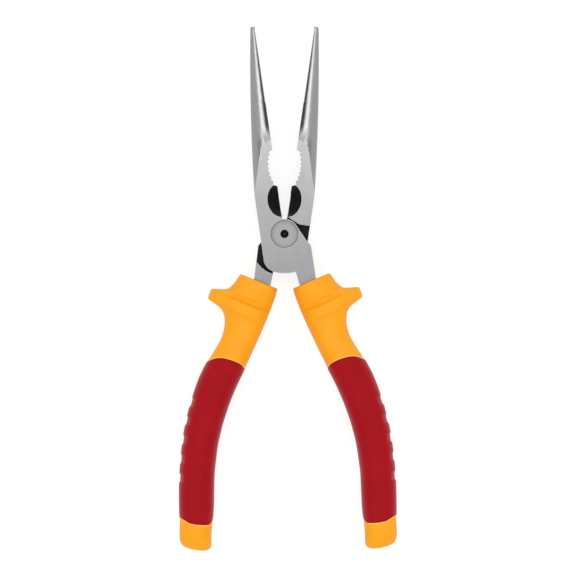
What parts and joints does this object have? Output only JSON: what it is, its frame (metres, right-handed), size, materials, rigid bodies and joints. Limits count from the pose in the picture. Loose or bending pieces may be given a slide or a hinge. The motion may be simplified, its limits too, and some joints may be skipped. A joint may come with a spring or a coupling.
{
  "type": "needle nose pliers",
  "caption": "Long-nose pliers with a pipe grip, side cutter and insulated finger-guard handles, hinged on a flush rivet.",
  "frame": {"origin": "middle of the footprint on the bench plane, the pliers lying flat and part open", "axes": "+Y towards the jaw tips, +Z along the pivot axis and up from the bench, +X towards the front lever's handle"},
  "size_m": [0.0836, 0.2012, 0.018],
  "materials": {
    "forged_steel": "satin",
    "rivet_steel": "ground flush",
    "yellow_sleeve": "semi-gloss",
    "red_grip": "soft satin"
  },
  "bodies": {
    "back_half": {"back_lever": "forged_steel", "pivot_rivet": "rivet_steel", "back_insulating_sleeve": "yellow_sleeve", "back_soft_grip": "red_grip"},
    "front_half": {"front_lever": "forged_steel", "front_insulating_sleeve": "yellow_sleeve", "front_soft_grip": "red_grip"}
  },
  "joints": [
    {"name": "pivot", "type": "hinge", "parent": "back_half", "child": "front_half", "pos_m": [-0.00125, 0.021, 0.009], "axis": [0, 0, 1], "range_deg": [-16.3, 33]}
  ]
}
